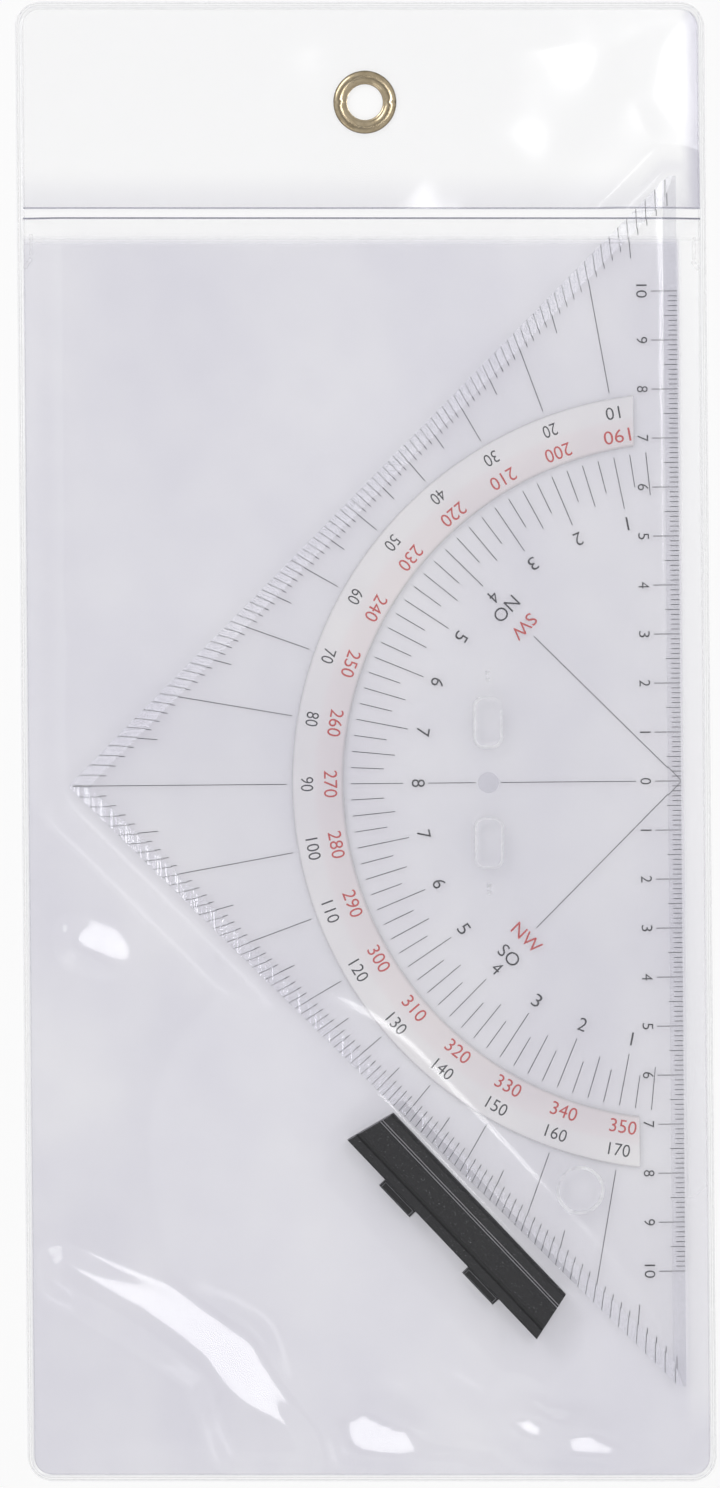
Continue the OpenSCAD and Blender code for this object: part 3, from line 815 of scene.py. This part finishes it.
# the handle, with its worn ridge and the frames of its feet; ridge, end faces and rounded edges are painted lighter
# for wear and as painted highlight, the groove and the feet's recesses painted dark as painted shade
handleFinish = {  # where its faces and edges get a colour of their own, in mm
    "ridge": (7.3, 8.15), "ridgeLevel": 8.15, "endAlong": 25, "footUp": -0.05, "footLevel": 6.5,
    "groove": (1.95, 2.95), "endLevel": 7.5, "endRounding": 0.45, "frameLevel": 6.0, "frameRounding": 0.16,
}
handle = copyNode("handle", "handleBlade")
dress(handle, blackPlastic, wornHighlightPlastic, recessShadePlastic, edgeWearAndHighlightPlastic)
for face in handle.data.polygons:
    p = face.center / mm
    along, up = onHandle(p.x, p.y)
    onRidge = handleFinish["ridge"][0] < up < handleFinish["ridge"][1] and p.z > handleFinish["ridgeLevel"]
    onEnd = abs(along) > handleFinish["endAlong"] and abs(face.normal.z) < 0.3
    deepInFoot = up < handleFinish["footUp"] and p.z < handleFinish["footLevel"]
    # ridge and end faces: lighter, wear and painted highlight
    if onRidge or onEnd:
        face.material_index = 1
    # groove and foot recesses: painted shade
    elif deepInFoot or handleFinish["groove"][0] < up < handleFinish["groove"][1]:
        face.material_index = 2


def endEdge(p, normals):
    side, top = sorted(normals, key=lambda normal: abs(normal.z))
    outwards = side.x * math.cos(handlePlace["turn"]) + side.y * math.sin(handlePlace["turn"])
    return p.z > handleFinish["endLevel"] and top.z > 0.7 and outwards < -0.8


def footEdge(p, normals):
    return onHandle(p.x, p.y)[1] < handleFinish["footUp"] and p.z > handleFinish["frameLevel"]


# rounded end edges and foot frames: lighter, wear and painted highlight
roundEdges(handle, endEdge, handleFinish["endRounding"], 2, 3)
roundEdges(handle, footEdge, handleFinish["frameRounding"], 1, 3)
settle(handle, "grip", "black_plastic", "handle")
print("handle made")


# numbers and letters, printed under the plate
numbers = {
    "edgeInset": 7.2 * mm, "edgeHeight": 2.2 * mm,
    "outerRadius": 76.3 * mm, "outerHeight": 2.55 * mm, "outerWidths": {2: 2.9 * mm, 3: 4.4 * mm},
    "innerRadius": 71.5 * mm, "innerHeight": 2.75 * mm, "innerWidth": 5.5 * mm,
    "pointRadius": 53.6 * mm, "pointHeight": 2.7 * mm, "pointStep": 11.25,
    "letterRadius": 50.0 * mm, "redLetterRadius": 44.9 * mm, "letterHeight": 2.7 * mm,
    "digitWidth": 0.60, "digitGap": 0.04, "thinner": 0.004, "depth": 0.005 * mm, "above": 0.0035 * mm,
}


def word(text, place, turn, width, height, thinner=0.0):
    bpy.ops.object.text_add(location=(0, 0, 0))
    mark = bpy.context.object
    mark.data.body = text
    mark.data.resolution_u = 4
    mark.data.offset = -thinner
    mark.data.extrude = 0.01
    selectOnly(mark)
    bpy.ops.object.convert(target="MESH")
    mark = bpy.context.object
    low = Vector(map(min, *[v.co for v in mark.data.vertices]))
    high = Vector(map(max, *[v.co for v in mark.data.vertices]))
    size = high - low
    mark.data.transform(Matrix.Translation(-(low + high) / 2))
    wide = width / size.x if width else height / size.y
    mark.data.transform(Matrix.Diagonal((wide, height / size.y, numbers["depth"] / size.z, 1)))
    mark.location = (place[0], place[1], square["print"] + numbers["above"])
    mark.rotation_euler = (0, 0, turn)
    return mark


# a word on a circle round the protractor's centre, read from outside
def roundWord(text, radius, angle, width, height, thinner=0.0):
    a = math.radians(angle)
    place = (square["x"] - radius * math.sin(a), square["y"] + radius * math.cos(a))
    return word(text, place, math.radians(angle + 180), width, height, thinner)


def joinWords(name, marks, material):
    selectOnly(*marks)
    bpy.ops.object.join()
    piece = bpy.context.object
    piece.name = name
    dress(piece, material)
    settle(piece, "set_square", "ink")


def digitWidth(text, height):
    width = numbers["digitWidth"] * len(text) + numbers["digitGap"] * (len(text) - 1)
    return None if text == "1" else height * width


marks = []
for k in range(-10, 11):
    text = str(abs(k))
    marks.append(word(text, (square["x"] - numbers["edgeInset"], square["y"] + k * 10 * mm), -math.pi / 2,
                      digitWidth(text, numbers["edgeHeight"]), numbers["edgeHeight"], numbers["thinner"]))
joinWords("edgeNumbers", marks, blackInk)

marks, redMarks = [], []
for a in range(10, 180, 10):
    text = str(a)
    marks.append(roundWord(text, numbers["outerRadius"], a, numbers["outerWidths"][len(text)],
                           numbers["outerHeight"], numbers["thinner"]))
    redMarks.append(roundWord(str(a + 180), numbers["innerRadius"], a, numbers["innerWidth"],
                              numbers["innerHeight"]))
joinWords("degreeNumbers", marks, blackInk)

marks = []
for k in range(1, 16):
    text = str(8 - abs(8 - k))
    marks.append(roundWord(text, numbers["pointRadius"], k * numbers["pointStep"],
                           digitWidth(text, numbers["pointHeight"]), numbers["pointHeight"], numbers["thinner"]))
for text, angle in (("NO", 45), ("SO", 135)):
    marks.append(roundWord(text, numbers["letterRadius"], angle, None, numbers["letterHeight"],
                           numbers["thinner"]))
joinWords("pointNumbers", marks, blackInk)

for text, angle in (("SW", 45), ("NW", 135)):
    redMarks.append(roundWord(text, numbers["redLetterRadius"], angle, None, numbers["letterHeight"]))
joinWords("redNumbers", redMarks, redInk)
print("numbers printed")


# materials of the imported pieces
for name in ("hypotenuse_scale", "degree_scale", "compass_scale", "direction_lines"):
    dressNode(name, blackInk)
dressNode("degree_band", frosted)
for nodeName, name in (("eyelet", "eyeletRim"), ("eyelet_washer", "eyeletBack")):
    rim = copyNode(nodeName, name)
    dress(rim, brass)
    smoothen(rim, 40)
    settle(rim, "wallet", "brass", nodeName)
print("packed pieces dressed")


# floor and light; the floor glows partly for the camera and through the plate, and the sky is grey overhead
studio = {
    "floorSize": 30, "floorLevel": -0.02 * mm, "floorColour": 0.97, "floorGlow": 0.76,
    "skyStrength": 0.83, "skyStops": [(0.0, (0.10, 0.10, 0.11)), (0.35, (0.45, 0.45, 0.47)), (0.70, (1.0, 1.0, 1.0)),
                                      (0.955, (1.0, 1.0, 1.0)), (0.985, (0.42, 0.42, 0.43))],
    "transparentBounces": 24,
}
bpy.ops.mesh.primitive_plane_add(size=studio["floorSize"], location=(0, 0, studio["floorLevel"]))
floor = bpy.context.object
floor.name = "floor"
paper, n, links, skin = newMaterial("paleFloor")
skin.inputs["Base Color"].default_value = (*[studio["floorColour"]] * 3, 1)
skin.inputs["Roughness"].default_value = 0.9
skin.inputs["Specular IOR Level"].default_value = 0.1
glow = n.new("ShaderNodeEmission")
glow.inputs["Color"].default_value = (1, 1, 1, 1)
either = calculate(n, links, "MAXIMUM", rayOf(n, "Is Camera Ray"), rayOf(n, "Is Transmission Ray"))
share = calculate(n, links, "MULTIPLY", either, studio["floorGlow"])
links.new(mixShaders(n, links, share, skin.outputs[0], glow.outputs[0]), n["Material Output"].inputs["Surface"])
dress(floor, paper)

world = bpy.data.worlds.new("studio")
scene.world = world
world.use_nodes = True
n, links = world.node_tree.nodes, world.node_tree.links
sky = n["Background"]
direction = n.new("ShaderNodeTexCoord")
split = n.new("ShaderNodeSeparateXYZ")
links.new(direction.outputs["Generated"], split.inputs["Vector"])
links.new(colourRamp(n, links, split.outputs["Z"], studio["skyStops"]), sky.inputs["Color"])
sky.inputs["Strength"].default_value = studio["skyStrength"]
white = n.new("ShaderNodeBackground")
white.inputs["Color"].default_value = (1, 1, 1, 1)
white.inputs["Strength"].default_value = 1.0
links.new(mixShaders(n, links, rayOf(n, "Is Camera Ray"), sky.outputs[0], white.outputs[0]),
          n["World Output"].inputs["Surface"])
scene.cycles.transparent_max_bounces = studio["transparentBounces"]

for name, (place, size, power) in lamps.items():
    bpy.ops.object.light_add(type="AREA", location=place)
    lamp = bpy.context.object
    lamp.name = name
    lamp.data.shape = "RECTANGLE"
    lamp.data.size, lamp.data.size_y = size
    lamp.data.energy = power
    lamp.rotation_mode = "QUATERNION"
    lamp.rotation_quaternion = (-Vector(place)).to_track_quat("-Z", "Y")
    lamp.visible_camera = False
print("lamps placed")
